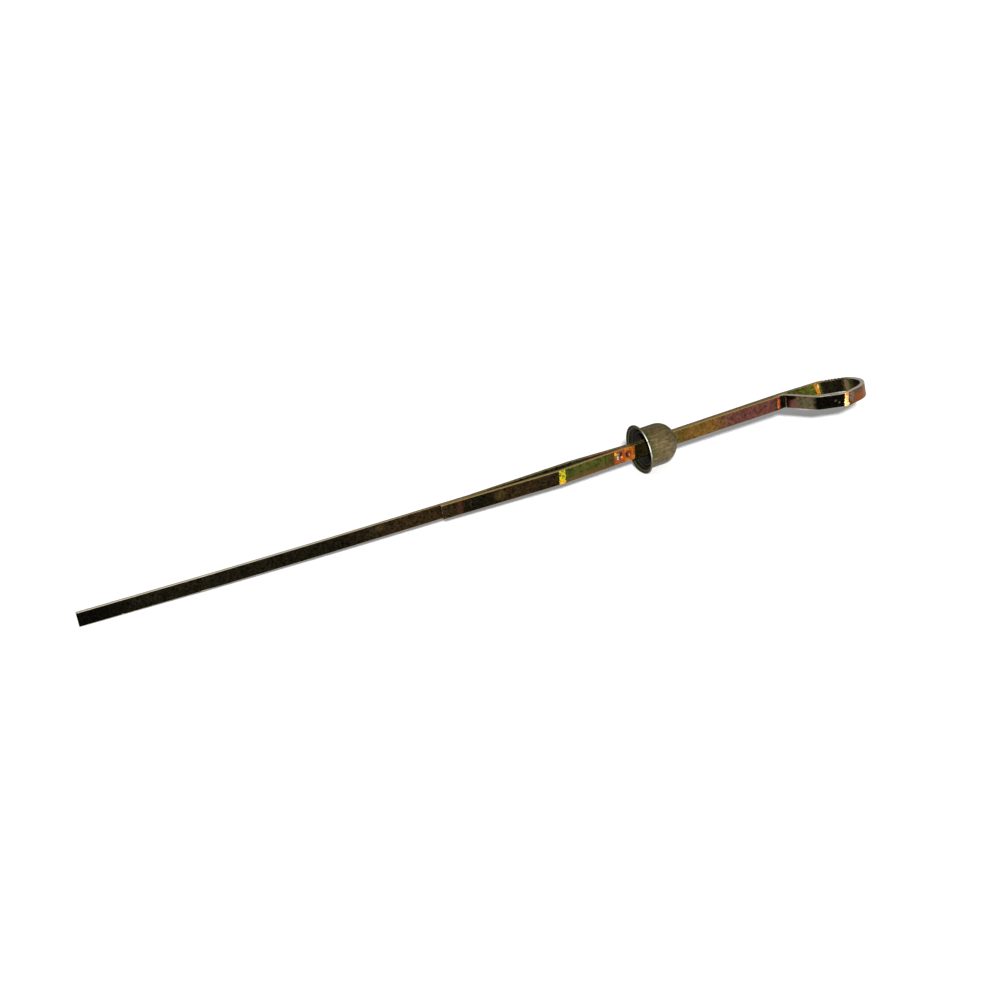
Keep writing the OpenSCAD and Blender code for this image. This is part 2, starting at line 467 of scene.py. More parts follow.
@dataclass
class FoldedStrip:
    """Flat steel strip folded into blade, tube spring, handle and ring. In millimetres and degrees."""

    stance: Stance = Stance()
    arris: float = 0.22
    tip_set: float = 18.6
    blade_sag: float = 1.15
    first_set_at: float = 42.0
    second_set_at: float = 82.0
    set_r: float = 180.0
    low_mark_at: float = 14.0
    mark_span: float = 26.0
    mark_w: float = 0.5
    mark_depth: float = 0.2
    spring_start: float = 1.5
    back_bend_at: float = 24.0
    back_bow: float = 3.9
    front_bend_at: float = 30.8
    front_bow: float = 1.8
    rejoin_at: float = 62.0
    spring_end: float = 73.0
    spring_r: float = 9.0
    crease_at: float = 58.9
    joggle_len: float = 3.0
    joggle_gap: float = 0.6
    crease_gap: float = 0.15
    ring_back: float = 15.4
    ring_front: float = 12.6
    ring_corner: float = 5.1
    front_reach: float = 21.4
    corner_reach: float = 15.9
    back_drop: float = 1.2
    back_slope: float = 31.0
    front_slope: float = 17.0
    ring_r: float = 9.0
    bend_r: float = 2.2
    crease_r: float = 1.4
    stake_at: float = 4.6
    stake_pitch: float = 3.0
    stake_r: float = 1.2
    stake_depth: float = 0.3
    jaw_pitch: float = 1.1
    jaw_depth: float = 0.2
    jaw_skew: float = 1.4
    jaw_from: float = 1.6
    jaw_reach: float = 10.0
    jaw_clear: float = 4.0
    shear_depth: float = 0.035
    shear_grain: Span = (1.7, 2.0)
    arris_segments: int = 3
    flat_cuts: int = 13
    station: float = 1.0
    fine_station: float = 0.15
    least_step: float = 1e-6
    bend_step: float = 4.0
    seed: float = 7.3

    def route(self) -> Route:
        """Lays out the strip's middle line, seen along its width.

        Returns:
            The line.
        """
        pitch = self.stance.strip_t + self.stance.layer_gap
        layer_y = pitch / 2
        slope = (self.tip_set - self.back_bow) / (self.stance.blade_len - self.rejoin_at)

        def blade_point(at: float) -> Vector:
            """Returns the blade's middle line at a distance from its tip."""
            return Vector((at - self.stance.blade_len, self.tip_set - slope * at - self.blade_sag))

        rejoin = Vector((-self.rejoin_at, self.back_bow))
        second_set = blade_point(self.second_set_at)
        back_way = heading(rejoin, second_set)
        lean = abs(math.cos(back_way))
        front_end = ahead(rejoin, back_way, (self.spring_end - self.rejoin_at) / lean)
        front_end.y -= pitch / lean
        back = Vector((self.crease_at + self.ring_back, layer_y - self.back_drop))
        front = Vector((self.crease_at + self.ring_front, -self.front_reach))
        near = Vector((self.crease_at + self.ring_corner, -self.corner_reach))
        nose = crossing(back, -math.radians(self.back_slope), front, math.radians(self.front_slope))
        joggle = Vector((self.crease_at - self.joggle_len, -layer_y - self.joggle_gap))
        layer_end = Vector((self.crease_at, -layer_y))
        into, out = heading(near, layer_end), math.pi + heading(joggle, layer_end)
        crest = self.crease_r * (1 + math.cos((into + out) / 2) / math.cos((out - into) / 2))
        crease = Vector((self.crease_at, self.stance.layer_gap / 2 - layer_y - self.crease_gap - crest))
        corners = {
            Corner.TIP: (Vector((-self.stance.blade_len, self.tip_set)), 0.0),
            Corner.FIRST_SET: (blade_point(self.first_set_at), self.set_r),
            Corner.SECOND_SET: (second_set, self.set_r),
            Corner.REJOIN: (rejoin, self.spring_r),
            Corner.BACK_BEND: (Vector((-self.back_bend_at, self.back_bow)), self.spring_r),
            Corner.BACK_PART: (Vector((-self.spring_start, layer_y)), self.spring_r),
            Corner.RING_START: (Vector((self.crease_at, layer_y)), self.spring_r),
            Corner.RING_BACK: (back, self.bend_r),
            Corner.RING_NOSE: (nose, self.ring_r),
            Corner.RING_FRONT: (front, self.bend_r),
            Corner.RING_NEAR: (near, self.bend_r),
            Corner.CREASE: (crease, self.crease_r),
            Corner.JOGGLE: (joggle, self.bend_r),
            Corner.CAP_TOP: (Vector((self.stance.cap_len + self.spring_start, -layer_y)), self.spring_r),
            Corner.FRONT_PART: (Vector((-self.spring_start, -layer_y)), self.spring_r),
            Corner.FRONT_BEND: (Vector((-self.front_bend_at, -self.front_bow)), self.spring_r),
            Corner.FRONT_END: (front_end, 0.0),
        }
        ordered = [corners[corner] for corner in Corner]
        return Route([point for point, _ in ordered], [radius for _, radius in ordered])

    def _profile(self, mesh: bmesh.types.BMesh, start: Vector, way: float) -> list[bmesh.types.BMEdge]:
        """Draws the strip's rounded section square to its path.

        Args:
            mesh: the empty bmesh that takes the section.
            start: first point of the path.
            way: its first direction.

        Returns:
            The section's edges.
        """
        bmesh.ops.create_grid(mesh, x_segments=1, y_segments=1, size=0.5)
        bmesh.ops.scale(mesh, vec=(self.stance.strip_t, self.stance.strip_w, 1), verts=mesh.verts)
        bmesh.ops.bevel(mesh, geom=mesh.verts[:], offset=self.arris, offset_type="OFFSET",
                        segments=self.arris_segments, profile=0.5, affect="VERTICES", material=-1)
        bmesh.ops.delete(mesh, geom=mesh.faces[:], context="FACES_ONLY")
        flats = [edge for edge in mesh.edges if edge.calc_length() > self.stance.strip_w / 2]
        bmesh.ops.subdivide_edges(mesh, edges=flats, cuts=self.flat_cuts)
        depth = mesh.verts.layers.float.new("depth")
        rise = mesh.verts.layers.float.new("rise")
        mesh.verts.layers.float.new("run")
        mesh.verts.layers.float.new("jaw")
        for vert in mesh.verts:
            vert[depth], vert[rise] = vert.co.x, vert.co.y
        stood = Matrix.Rotation(way + math.pi / 2, 4, "Z") @ Matrix.Rotation(math.pi / 2, 4, "X")
        bmesh.ops.transform(mesh, matrix=Matrix.Translation((*start, 0)) @ stood, verts=mesh.verts)
        return mesh.edges[:]

    def _steps(self, corner: int, route: Route) -> list[float]:
        """Divides a flat stretch into steps.

        Args:
            corner: number of the corner that the stretch leads to.
            route: the strip's middle line.

        Returns:
            The lengths of the steps.
        """
        length = route.straight(corner)
        stops = {0.0, length}
        count = max(1, round(length / self.station))
        stops.update(length * i / count for i in range(count + 1))
        for low, high in self._fine_spans(corner):
            fine = max(1, round((high - low) / self.fine_station))
            stops.update(low + (high - low) * i / fine for i in range(fine + 1))
        ordered = sorted(stop for stop in stops if 0 <= stop <= length)
        return [b - a for a, b in zip(ordered, ordered[1:]) if b - a > self.least_step]

    def _fine_spans(self, corner: int) -> list[Span]:
        """Names the spans of a flat stretch that need fine steps.

        Args:
            corner: number of the corner that the stretch leads to.

        Returns:
            Where each span starts and ends, from the start of the stretch.
        """
        if corner == Corner.FIRST_SET:
            marks = (self.low_mark_at, self.low_mark_at + self.mark_span)
            return [(at - self.mark_w, at + self.mark_w) for at in marks]
        if corner == Corner.FRONT_BEND:
            first = self.stake_at - self.spring_start - self.stake_r
            return [(first, first + self.stake_pitch + 2 * self.stake_r)]
        if corner in (Corner.RING_NOSE, Corner.RING_NEAR):
            return [(0.0, 2 * self.ring_back)]
        return []

    def _step(self, mesh: bmesh.types.BMesh, section: list[bmesh.types.BMEdge], move: Matrix,
              distance: float) -> list[bmesh.types.BMEdge]:
        """Extrudes the section by one step.

        Args:
            mesh: the strip.
            section: edges of its last section.
            move: where the new section goes.
            distance: length walked by the step.

        Returns:
            The edges of the new section.
        """
        run = mesh.verts.layers.float["run"]
        made = bmesh.ops.extrude_edge_only(mesh, edges=section)["geom"]
        verts = [item for item in made if isinstance(item, bmesh.types.BMVert)]
        bmesh.ops.transform(mesh, matrix=move, verts=verts)
        fresh = set(verts)
        for vert in verts:
            vert[run] += distance
        return [item for item in made if isinstance(item, bmesh.types.BMEdge) and set(item.verts) <= fresh]

    def _sweep(self, mesh: bmesh.types.BMesh, route: Route) -> None:
        """Walks the section along the whole route and closes both ends.

        Args:
            mesh: the empty bmesh that takes the strip.
            route: its middle line.
        """
        section = self._profile(mesh, route.points[0], route.ways[0])
        bmesh.ops.contextual_create(mesh, geom=section)
        for i in range(1, len(route.points)):
            way = route.ways[i - 1]
            for length in self._steps(i, route):
                stride = ahead(Vector((0, 0)), way, length)
                section = self._step(mesh, section, Matrix.Translation((*stride, 0)), length)
            turn, radius = route.turns[i], route.radii[i]
            count = math.ceil(math.degrees(abs(turn)) / self.bend_step)
            if not count:
                continue
            start = ahead(route.points[i], way, -route.trims[i])
            centre = Vector((*ahead(start, way + math.copysign(math.pi / 2, turn), radius), 0))
            swing = Matrix.Rotation(turn / count, 4, "Z")
            swing = Matrix.Translation(centre) @ swing @ Matrix.Translation(-centre)
            for _ in range(count):
                section = self._step(mesh, section, swing, radius * abs(turn) / count)
        bmesh.ops.contextual_create(mesh, geom=section)

    def _press(self, mesh: bmesh.types.BMesh, route: Route) -> None:
        """Presses level marks, stakes and jaw marks into the strip, and roughens its sheared edges.

        Args:
            mesh: the swept strip, still square to the plane.
            route: its middle line.
        """
        run, depth, rise, jaw = (mesh.verts.layers.float[name] for name in ("run", "depth", "rise", "jaw"))
        mesh.normal_update()
        face, rim = self.stance.strip_t / 2 - self.arris / 2, self.stance.strip_w / 2 - self.arris
        marks = (self.low_mark_at, self.low_mark_at + self.mark_span)
        first_stake = route.runs[Corner.FRONT_PART] + self.stake_at - self.spring_start
        stakes = (first_stake, first_stake + self.stake_pitch)
        legs = ((Corner.RING_BACK, Corner.RING_NOSE), (Corner.RING_FRONT, Corner.RING_NEAR))
        spans = [(route.runs[start], route.runs[end]) for start, end in legs]
        jaws = [(low + self.jaw_from, min(high - self.jaw_clear, low + self.jaw_reach))
                for low, high in spans]
        along, across = self.shear_grain
        for vert in mesh.verts:
            if vert[depth] < -face and any(abs(vert[run] - at) < self.mark_w / 2 for at in marks):
                vert.co -= vert.normal * self.mark_depth
            if vert[depth] > face:
                off = min(math.hypot(vert[run] - at, vert[rise]) for at in stakes)
                dome = math.sqrt(max(0.0, self.stake_r ** 2 - off ** 2))
                vert.co -= vert.normal * max(0.0, dome - self.stake_r + self.stake_depth)
            if vert[rise] > rim and any(low < vert[run] < high for low, high in jaws):
                wave = math.sin(math.tau * vert[run] / self.jaw_pitch + self.jaw_skew * vert[depth])
                vert[jaw] = max(0.0, wave)
                vert.co.z -= self.jaw_depth * vert[jaw]
            if abs(vert[rise]) > rim:
                spot = Vector((vert[run] * along, vert[depth] * across, vert[rise] + self.seed))
                vert.co.z -= math.copysign(self.shear_depth * (noise.noise(spot) + 1), vert[rise])

    def build(self) -> None:
        """Makes the strip as one piece."""
        mesh = bmesh.new()
        route = self.route()
        self._sweep(mesh, route)
        bmesh.ops.recalc_face_normals(mesh, faces=mesh.faces)
        self._press(mesh, route)
        bmesh.ops.translate(mesh, vec=(0, self.stance.offset, 0), verts=mesh.verts)
        self.stance.settle(mesh)
        finish = StripPlating(route, self.stance).material()
        made_into_piece("strip", mesh, "dipstick_strip", finish)


@dataclass(frozen=True)
class Patch:
    """One tone of the plating, or of a painted reflection, glint or shade on it, at a distance in
    millimetres beyond a corner of the strip.
    """

    corner: Corner
    beyond: float
    tone: Tone


def tones(corner: Corner, *stops: tuple[float, Tone]) -> tuple[Patch, ...]:
    """Returns patches at several distances beyond one corner."""
    return tuple(Patch(corner, beyond, tone) for beyond, tone in stops)


@dataclass(frozen=True)
class Fleck:
    """A ragged spot or band of two mixed tones on one side of the strip, either a stain or a painted glint,
    highlight or shade. Lengths in millimetres.
    """

    corner: Corner
    beyond: float
    half_run: float
    tone: Tone
    second: Tone
    outer: bool = True
    rise: float = 0.0
    half_rise: float = 40.0
    strength: float = 1.0
    fade: float = 0.2


@dataclass(frozen=True)
class StripPlating:
    """Yellow chromate on the strip: tones that drift along it, among them painted reflections and painted
    shade, painted glints at bends and arrises, speckle and dull edges.

    Lengths are in millimetres, apart from those of grains and the relief, which are in metres.
    """

    route: Route
    stance: Stance
    lift: float = 0.84
    edge_lift: float = 0.78
    blots: Grain = Grain(0.0009, 4.0, 0.65)
    speckle: Grain = Grain(0.0006, 3.0, 0.75)
    drift: Grain = Grain(0.0035)
    hue: Grain = Grain(0.0009, 3.0, 0.6)
    ragged: Grain = Grain(0.0005, 3.0, 0.7)
    coarse: Span = (0.4, 0.6)
    drift_tints: tuple[tuple[Span, Tone], ...] = (((0.5, 0.64), Tone.ROSE), ((0.5, 0.38), Tone.LEAF))
    hue_tints: tuple[tuple[Span, Tone], ...] = (((0.52, 0.66), Tone.EMBER), ((0.48, 0.34), Tone.LEAF))
    tint: float = 0.4
    waver: float = 1.2
    slant: float = 0.12
    speckle_span: Span = (0.36, 0.64)
    grainy: float = 1.2
    calming: float = 0.75
    calm_fade: float = 1.0
    blot_span: Span = (0.35, 0.65)
    blotchy: float = 0.5
    side_blur: float = 0.3
    fleck_blur: float = 0.1
    fray: float = 1.6
    dent_shade: float = 0.75
    edge_light: float = 0.75
    edge_speckle: float = 0.5
    edge_metal_loss: float = 0.7
    edge_blur: Span = (0.2, 0.08)
    arris_rise: Span = (0.24, 0.12)
    arris_depth: Span = (0.25, 0.1)
    arris_wear_and_highlight: float = 0.4
    smooth: float = 0.3
    dulling: float = 0.35
    sheen: float = 0.2
    relief: float = 0.00003
    relief_strength: float = 0.5
    # Painted reflections: the blade's near-black from its tip and the ring's dark inner flat past its back
    # bend stand for dark surroundings mirrored in the steel.
    blade_face: tuple[Patch, ...] = (
        *tones(Corner.TIP, (0, Tone.INK), (9, Tone.INK), (20, Tone.UMBER_BLACK)),
        *tones(Corner.SECOND_SET, (4, Tone.UMBER_BLACK), (18, Tone.UMBER)),
        *tones(Corner.REJOIN, (-22, Tone.SEPIA), (-8, Tone.SEPIA), (2, Tone.TEAL_SHADE)),
        *tones(Corner.BACK_PART, (-19, Tone.TEAL_SHADE), (-14, Tone.MAROON)),
        *tones(Corner.RING_START, (-4, Tone.MAROON), (1, Tone.OLIVE)),
        *tones(Corner.RING_BACK, (-9, Tone.OLIVE), (-4, Tone.LEAF), (-0.8, Tone.LEAF),
               (-0.4, Tone.UMBER_BLACK), (8.3, Tone.UMBER_BLACK), (8.7, Tone.LEAF), (11.8, Tone.OLIVE),
               (13.0, Tone.UMBER)),
        *tones(Corner.RING_FRONT, (0, Tone.UMBER)),
    )
    # Painted reflections and shade: the ring's dark front flat, the dark facet between crease and joggle,
    # and the spring's dark stretch past its front bend; painted shade on the strip just inside the cap's
    # mouth.
    outer_face: tuple[Patch, ...] = (
        *tones(Corner.RING_START, (0, Tone.OLIVE_GOLD)),
        *tones(Corner.RING_FRONT, (-9, Tone.GOLD), (0.8, Tone.BRONZE), (0.95, Tone.INK)),
        *tones(Corner.RING_NEAR, (1.1, Tone.INK), (1.4, Tone.MOSS)),
        *tones(Corner.CREASE, (-6.8, Tone.MOSS), (-5.6, Tone.PINK), (-4.4, Tone.PINK), (-3.0, Tone.UMBER),
               (-1.5, Tone.UMBER), (-1.2, Tone.UMBER_BLACK)),
        *tones(Corner.JOGGLE, (-0.9, Tone.UMBER_BLACK), (0.8, Tone.PLUM), (3.5, Tone.ROSE),
               (19, Tone.ROSE), (27, Tone.GOLD)),
        *tones(Corner.CAP_TOP, (-7, Tone.GOLD), (0, Tone.OLIVE_GOLD)),
        *tones(Corner.FRONT_PART, (0.2, Tone.OLIVE_SHADE), (1.0, Tone.TAN_SHADE), (9.0, Tone.TAN_SHADE),
               (12.5, Tone.OLIVE)),
        *tones(Corner.FRONT_BEND, (-1.2, Tone.OLIVE), (0.6, Tone.UMBER), (17, Tone.SEPIA),
               (26, Tone.UMBER_BLACK), (33, Tone.UMBER_BLACK), (40, Tone.SEPIA)),
        *tones(Corner.FRONT_END, (0, Tone.SEPIA)),
    )
    sheared_edge: tuple[Patch, ...] = (
        *tones(Corner.TIP, (0, Tone.PALE_ZINC)),
        *tones(Corner.SECOND_SET, (-14, Tone.PALE_ZINC), (8, Tone.ZINC)),
        *tones(Corner.REJOIN, (-18, Tone.DRAB), (2, Tone.TAN_SHADE)),
        *tones(Corner.BACK_PART, (-5, Tone.TAN_SHADE), (-1, Tone.OLIVE_SHADE), (8, Tone.TAN_SHADE)),
        *tones(Corner.RING_START, (0, Tone.TAN_SHADE)),
        *tones(Corner.RING_BACK, (1, Tone.DRAB), (2.5, Tone.SEPIA), (9, Tone.SEPIA), (12, Tone.ZINC)),
        *tones(Corner.RING_NOSE, (0, Tone.PALE_ZINC)),
        *tones(Corner.CREASE, (0, Tone.ZINC)),
        *tones(Corner.JOGGLE, (2, Tone.KHAKI)),
        *tones(Corner.CAP_TOP, (2, Tone.KHAKI)),
        # Painted shade: both layers' edges are darker where they pass into the cap's mouth.
        *tones(Corner.FRONT_PART, (-8, Tone.OLIVE_SHADE), (2.2, Tone.OLIVE_SHADE), (4.2, Tone.KHAKI)),
        *tones(Corner.FRONT_END, (0, Tone.KHAKI)),
    )
    flecks: tuple[Fleck, ...] = (
        Fleck(Corner.TIP, 101, 1.4, Tone.TAN_SHADE, Tone.UMBER, False, 0.8, 1.0, 0.5, 0.8),
        # Painted glints where the ring's inner bend turns to the light.
        Fleck(Corner.RING_BACK, -1.2, 0.75, Tone.ORANGE, Tone.LEAF, False),
        Fleck(Corner.RING_BACK, -0.7, 0.45, Tone.STRAW, Tone.ORANGE, False, 1.0, 0.8),
        Fleck(Corner.RING_BACK, 10.1, 1.0, Tone.PINK, Tone.MOSS, False, 0.3, 2.2, 0.9, 0.6),
        Fleck(Corner.RING_FRONT, -8.0, 5.5, Tone.GOLD, Tone.EMBER, True, -0.4, 2.2, 0.7, 0.9),
        Fleck(Corner.RING_FRONT, -6.0, 3.0, Tone.PINK, Tone.UMBER, True, 1.2, 1.2, 0.7, 0.9),
        # Painted glint at the ring's front bend.
        Fleck(Corner.RING_FRONT, 0.1, 0.55, Tone.STRAW, Tone.ORANGE),
        Fleck(Corner.RING_FRONT, 0.0, 0.6, Tone.FLAME, Tone.ORANGE, True, 1.9, 0.6),
        Fleck(Corner.RING_FRONT, -1.9, 1.1, Tone.ZINC, Tone.PLUM, True, 0.4, 1.6, 0.9, 0.7),
        Fleck(Corner.RING_FRONT, 3.6, 0.5, Tone.DRAB, Tone.INK, True, 0.2, 0.4, 0.6),
        Fleck(Corner.RING_FRONT, 2.4, 0.3, Tone.MOSS, Tone.INK, True, -0.6, 0.3, 0.6),
        # Painted highlight along the crease, then painted shade at the top of the face beside it.
        Fleck(Corner.CREASE, -1.45, 0.28, Tone.ZINC, Tone.DRAB),
        Fleck(Corner.CREASE, -3.6, 2.4, Tone.INK, Tone.UMBER_BLACK, True, 1.9, 1.3, 1.0, 0.4),
        Fleck(Corner.CREASE, -4.9, 1.2, Tone.PINK, Tone.ROSE, True, -0.9, 1.6, 0.9, 0.7),
        # Painted glint at the joggle bend.
        Fleck(Corner.JOGGLE, -0.1, 0.55, Tone.FLAME, Tone.RUST, True, 0.3, 2.3),
        Fleck(Corner.JOGGLE, 5.4, 0.45, Tone.UMBER_BLACK, Tone.MAROON, True, 0.6, 0.35),
        Fleck(Corner.JOGGLE, 13.7, 0.55, Tone.OLIVE_SHADE, Tone.UMBER, True, -0.2, 0.45, 0.8),
        Fleck(Corner.JOGGLE, 15.6, 1.2, Tone.OLIVE_SHADE, Tone.ROSE, True, 0.9, 0.4, 0.6),
        # Painted highlight where the strip bends gently by the cap's mouth, with painted shade and glints
        # in and over the stakes' dents.
        Fleck(Corner.FRONT_PART, 4.6, 3.9, Tone.EMBER, Tone.BRONZE),
        Fleck(Corner.FRONT_PART, 2.5, 1.9, Tone.ORANGE, Tone.EMBER),
        Fleck(Corner.FRONT_PART, 5.9, 0.5, Tone.INK, Tone.BRONZE, True, 0.9, 0.9),
        Fleck(Corner.FRONT_PART, 7.1, 0.6, Tone.INK, Tone.WHITE_ZINC, True, 0.2, 1.1),
        Fleck(Corner.FRONT_PART, 8.0, 0.5, Tone.BRASS, Tone.ORANGE, True, 1.4, 0.7),
        Fleck(Corner.FRONT_PART, 3.1, 1.3, Tone.RUST, Tone.BRONZE, True, 0.0, 1.3, 1.0, 0.5),
        Fleck(Corner.FRONT_BEND, -10.5, 9.5, Tone.TAN_SHADE, Tone.BRONZE, True, -2.5, 1.7, 0.9, 0.8),
        # Painted glint at the spring's front bend, orange along its lower side.
        Fleck(Corner.FRONT_BEND, -0.4, 1.05, Tone.BRASS, Tone.OLIVE),
        Fleck(Corner.FRONT_BEND, -0.4, 1.0, Tone.ORANGE, Tone.BRASS, True, -1.9, 0.7),
        Fleck(Corner.FRONT_BEND, 22, 2.0, Tone.TAN_SHADE, Tone.UMBER, True, 0.2, 1.5, 0.6, 0.9),
        Fleck(Corner.FRONT_BEND, 36.3, 1.1, Tone.MAROON, Tone.UMBER, True, -0.4, 3.0, 1.0, 0.7),
        Fleck(Corner.FRONT_BEND, 32.4, 0.12, Tone.DRAB, Tone.SEPIA, True, 0.5, 2.0, 0.3),
        Fleck(Corner.FRONT_END, 0, 0.12, Tone.ZINC, Tone.DRAB, True, 0.0, 40.0, 0.5),
    )

    def _beyond(self, corner: Corner, beyond: float) -> float:
        """Returns a place along the strip in millimetres from its tip."""
        return self.route.runs[corner] + beyond

    def _ramp(self, shading: Shading, walked: Number, patches: Iterable[Patch]) -> bpy.types.NodeSocket:
        """Colours the strip by a row of patches.

        Args:
            shading: the material under construction.
            walked: distance along the strip.
            patches: the tones, in their order along the strip.

        Returns:
            The colour.
        """
        stops = [(self._beyond(patch.corner, patch.beyond) / self.route.length, patch.tone.linear())
                 for patch in patches]
        ramp = shading.node("ShaderNodeValToRGB", {"stops": stops}, {0: walked / self.route.length})
        return ramp.outputs[0]

    def _faces(self, shading: Shading, walked: Number, blots: Number,
               speckle: Number) -> bpy.types.NodeSocket:
        """Colours both broad faces, calmer from the ring's near corner to the spring's bend.

        Args:
            shading: the material under construction.
            walked: distance along the strip.
            blots: the coarse noise.
            speckle: the fine noise.

        Returns:
            The colour.
        """
        outside = shading.attribute("depth").rises(-self.side_blur, self.side_blur)
        face = shading.mix(outside, self._ramp(shading, walked, self.blade_face),
                           self._ramp(shading, walked, self.outer_face))
        for grain, tints in ((self.drift, self.drift_tints), (self.hue, self.hue_tints)):
            cloud = shading.cloud(grain)
            for span, tone in tints:
                face = shading.mix(cloud.rises(*span) * self.tint, face, tone, "SOFT_LIGHT")
        calm_from, calm_to = self._beyond(Corner.RING_NEAR, 1), self._beyond(Corner.FRONT_BEND, 0)
        calm = walked.band(calm_from, calm_from + self.calm_fade, calm_to - self.calm_fade, calm_to)
        grainy = (speckle.rises(*self.speckle_span) - 0.5) * (self.grainy - self.calming * calm)
        blotchy = self.blotchy * (blots.rises(*self.blot_span) - 0.5)
        return shading.brighten(face, 1 + grainy + blotchy)

    def _with_flecks(self, shading: Shading, face: bpy.types.NodeSocket,
                     walked: Number) -> bpy.types.NodeSocket:
        """Puts the painted glints, the painted shade and highlights at the crease and the stakes, and the
        stains on top of the faces.

        Args:
            shading: the material under construction.
            face: the faces' colour.
            walked: distance along the strip.

        Returns:
            The colour.
        """
        rise = shading.attribute("rise")
        outside = shading.attribute("depth").rises(-self.fleck_blur, self.fleck_blur)
        ragged = shading.cloud(self.ragged)
        sparkle = ragged.rises(*self.coarse)
        fray = (ragged - 0.5) * self.fray
        for fleck in self.flecks:
            along = (walked - self._beyond(fleck.corner, fleck.beyond)) / fleck.half_run
            across = (rise - fleck.rise) / fleck.half_rise
            near = (along * along + across * across + fray).rises(1 + fleck.fade, 1 - fleck.fade)
            side = outside if fleck.outer else 1 - outside
            blend = shading.mix(sparkle, fleck.tone, fleck.second)
            face = shading.mix(near * side * fleck.strength, face, blend)
        return face

    def material(self) -> bpy.types.Material:
        """Builds the strip's material.

        Returns:
            The material.
        """
        shading = Shading("strip_plating")
        run, depth, rise = (shading.attribute(name) for name in ("run", "depth", "rise"))
        blots, speckle = shading.cloud(self.blots), shading.cloud(self.speckle)
        walked = run + (blots - 0.5) * self.waver + rise * self.slant
        face = self._with_flecks(shading, self._faces(shading, walked, blots, speckle), walked)
        # Painted shade: the sheared edge is darker in the jaws' dents.
        dents = 1 - self.dent_shade * shading.attribute("jaw")
        edge = self._ramp(shading, walked, self.sheared_edge)
        light = self.edge_lift * (self.edge_light + self.edge_speckle * speckle)
        edge = shading.brighten(edge, light * dents)
        half_w, half_t = self.stance.strip_w / 2, self.stance.strip_t / 2
        on_edge = abs(rise).rises(*(half_w - blur for blur in self.edge_blur))
        colour = shading.mix(on_edge, shading.brighten(face, self.lift), edge)
        # Wear and painted highlight: the arrises turn khaki in blots, lighter where they catch the light.
        arris = abs(rise).rises(*(half_w - inset for inset in self.arris_rise))
        arris = arris * abs(depth).rises(*(half_t - inset for inset in self.arris_depth))
        wear_and_highlight = arris * blots.rises(*self.coarse) * self.arris_wear_and_highlight
        shading.finish(Base_Color=shading.mix(wear_and_highlight, colour, Tone.KHAKI), Specular_IOR_Level=self.sheen)
        shading.finish(Metallic=1 - self.edge_metal_loss * on_edge)
        shading.finish(Roughness=self.smooth + self.dulling * blots)
        shading.bump(speckle + blots, self.relief, self.relief_strength)
        return shading.material


@dataclass(frozen=True)
class Turned:
    """A shell turned about the handle's line from a half section. Lengths in millimetres."""

    steps: int = 192
    weld: float = 1e-4
    speck: float = 1e-5

    def spin(self, mesh: bmesh.types.BMesh) -> None:
        """Turns a half section all the way round and closes its seam and poles.

        Args:
            mesh: the bmesh that holds the section.
        """
        geometry = mesh.verts[:] + mesh.edges[:]
        bmesh.ops.spin(mesh, geom=geometry, cent=(0, 0, 0), axis=ALONG_HANDLE, dvec=(0, 0, 0),
                       angle=math.tau, steps=self.steps, use_merge=True, use_duplicate=False)
        bmesh.ops.remove_doubles(mesh, verts=mesh.verts, dist=self.weld)
        bmesh.ops.dissolve_degenerate(mesh, dist=self.speck, edges=mesh.edges)
        bmesh.ops.recalc_face_normals(mesh, faces=mesh.faces)


@dataclass(frozen=True)
class StripSlot:
    """Slot for both layers of the strip in the closed end of a turned piece. Lengths in millimetres."""

    stance: Stance = Stance()
    fit: float = 0.1
    room: float = 1.0
    speck: float = 1e-5

    @property
    def half_y(self) -> float:
        """Half of its size across both layers."""
        return self.stance.strip_t + self.stance.layer_gap / 2 + self.fit

    @property
    def half_z(self) -> float:
        """Half of its size along the strip's width."""
        return self.stance.strip_w / 2 + self.fit

    def _near(self, mesh: bmesh.types.BMesh, start: float, room: float) -> list[bmesh.types.BMFace]:
        """Finds the faces whose middle lies in the slot or close to it.

        Args:
            mesh: the turned piece on the handle's line.
            start: where its closed end begins on that line.
            room: how far round the slot the faces may lie.

        Returns:
            The faces.
        """
        found = []
        for face in mesh.faces:
            middle = face.calc_center_median()
            beside = max(abs(middle.y - self.stance.offset) - self.half_y, abs(middle.z) - self.half_z)
            if middle.x > start and beside < room:
                found.append(face)
        return found

    def cut(self, mesh: bmesh.types.BMesh, start: float) -> None:
        """Cuts the slot and closes its walls.

        Args:
            mesh: the turned piece on the handle's line.
            start: where its closed end begins on that line.
        """
        planes = [((0, self.stance.offset + side * self.half_y, 0), (0, 1, 0)) for side in (-1, 1)]
        planes += [((0, 0, side * self.half_z), (0, 0, 1)) for side in (-1, 1)]
        for point, normal in planes:
            faces = self._near(mesh, start, self.room)
            around = {item for face in faces for item in (*face.verts, *face.edges, face)}
            bmesh.ops.bisect_plane(mesh, geom=list(around), dist=self.speck, plane_co=point,
                                   plane_no=normal)
        bmesh.ops.delete(mesh, geom=self._near(mesh, start, 0.0), context="FACES")
        rims = [edge for edge in mesh.edges if edge.is_boundary]
        bmesh.ops.bridge_loops(mesh, edges=rims)
        bmesh.ops.recalc_face_normals(mesh, faces=mesh.faces)


